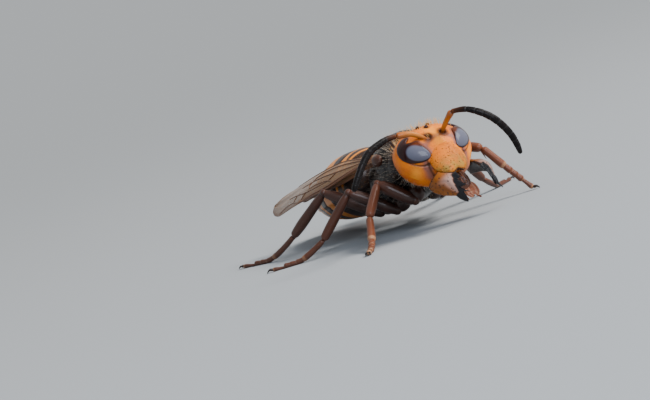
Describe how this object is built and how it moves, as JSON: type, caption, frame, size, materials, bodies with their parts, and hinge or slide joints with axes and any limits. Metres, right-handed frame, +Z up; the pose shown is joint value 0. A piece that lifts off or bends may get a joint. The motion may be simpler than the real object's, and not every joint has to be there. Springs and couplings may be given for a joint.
{
  "type": "asian giant hornet",
  "caption": "Life-size giant hornet with a broad orange head, toothed jaws, banded abdomen and folded smoky wings, standing with its head raised.",
  "frame": {"origin": "middle of the outline on the floor, under the feet", "axes": "+Z up, the hornet faces -Y, its left side is +X"},
  "size_m": [0.0436, 0.0499, 0.0155],
  "materials": {
    "orange_cuticle": "polished",
    "eye_lens": "wet gloss",
    "rust_cuticle": "satin",
    "black_cuticle": "gloss with fine pits",
    "amber_cuticle": "satin",
    "brown_cuticle": "satin",
    "wing_membrane": "smoky film"
  },
  "bodies": {
    "root": {"head": "orange_cuticle", "mandible_left": "orange_cuticle", "mandible_right": "orange_cuticle", "eye_left": "eye_lens", "eye_right": "eye_lens", "mouthparts": "rust_cuticle", "antenna_left_scape": "rust_cuticle", "antenna_right_scape": "rust_cuticle", "leg_front_left_coxa": "rust_cuticle", "leg_front_left_femur": "rust_cuticle", "leg_front_left_tibia": "rust_cuticle", "leg_front_left_foot": "rust_cuticle", "leg_front_right_coxa": "rust_cuticle", "leg_front_right_femur": "rust_cuticle", "leg_front_right_tibia": "rust_cuticle", "leg_front_right_foot": "rust_cuticle", "antenna_left_base": "black_cuticle", "antenna_left_tip": "black_cuticle", "antenna_right_base": "black_cuticle", "antenna_right_tip": "black_cuticle", "thorax": "black_cuticle", "abdomen_1": "black_cuticle", "abdomen_3": "black_cuticle", "abdomen_5": "black_cuticle", "abdomen_2": "amber_cuticle", "abdomen_4": "amber_cuticle", "abdomen_6": "amber_cuticle", "neck": "brown_cuticle", "leg_middle_left_coxa": "brown_cuticle", "leg_middle_left_femur": "brown_cuticle", "leg_middle_left_tibia": "brown_cuticle", "leg_middle_left_foot": "brown_cuticle", "leg_middle_right_coxa": "brown_cuticle", "leg_middle_right_femur": "brown_cuticle", "leg_middle_right_tibia": "brown_cuticle", "leg_middle_right_foot": "brown_cuticle", "leg_hind_left_coxa": "brown_cuticle", "leg_hind_left_femur": "brown_cuticle", "leg_hind_left_tibia": "brown_cuticle", "leg_hind_left_foot": "brown_cuticle", "leg_hind_right_coxa": "brown_cuticle", "leg_hind_right_femur": "brown_cuticle", "leg_hind_right_tibia": "brown_cuticle", "leg_hind_right_foot": "brown_cuticle", "wing_fore_left": "wing_membrane", "wing_fore_right": "wing_membrane", "wing_hind_left": "wing_membrane", "wing_hind_right": "wing_membrane"}
  },
  "joints": []
}
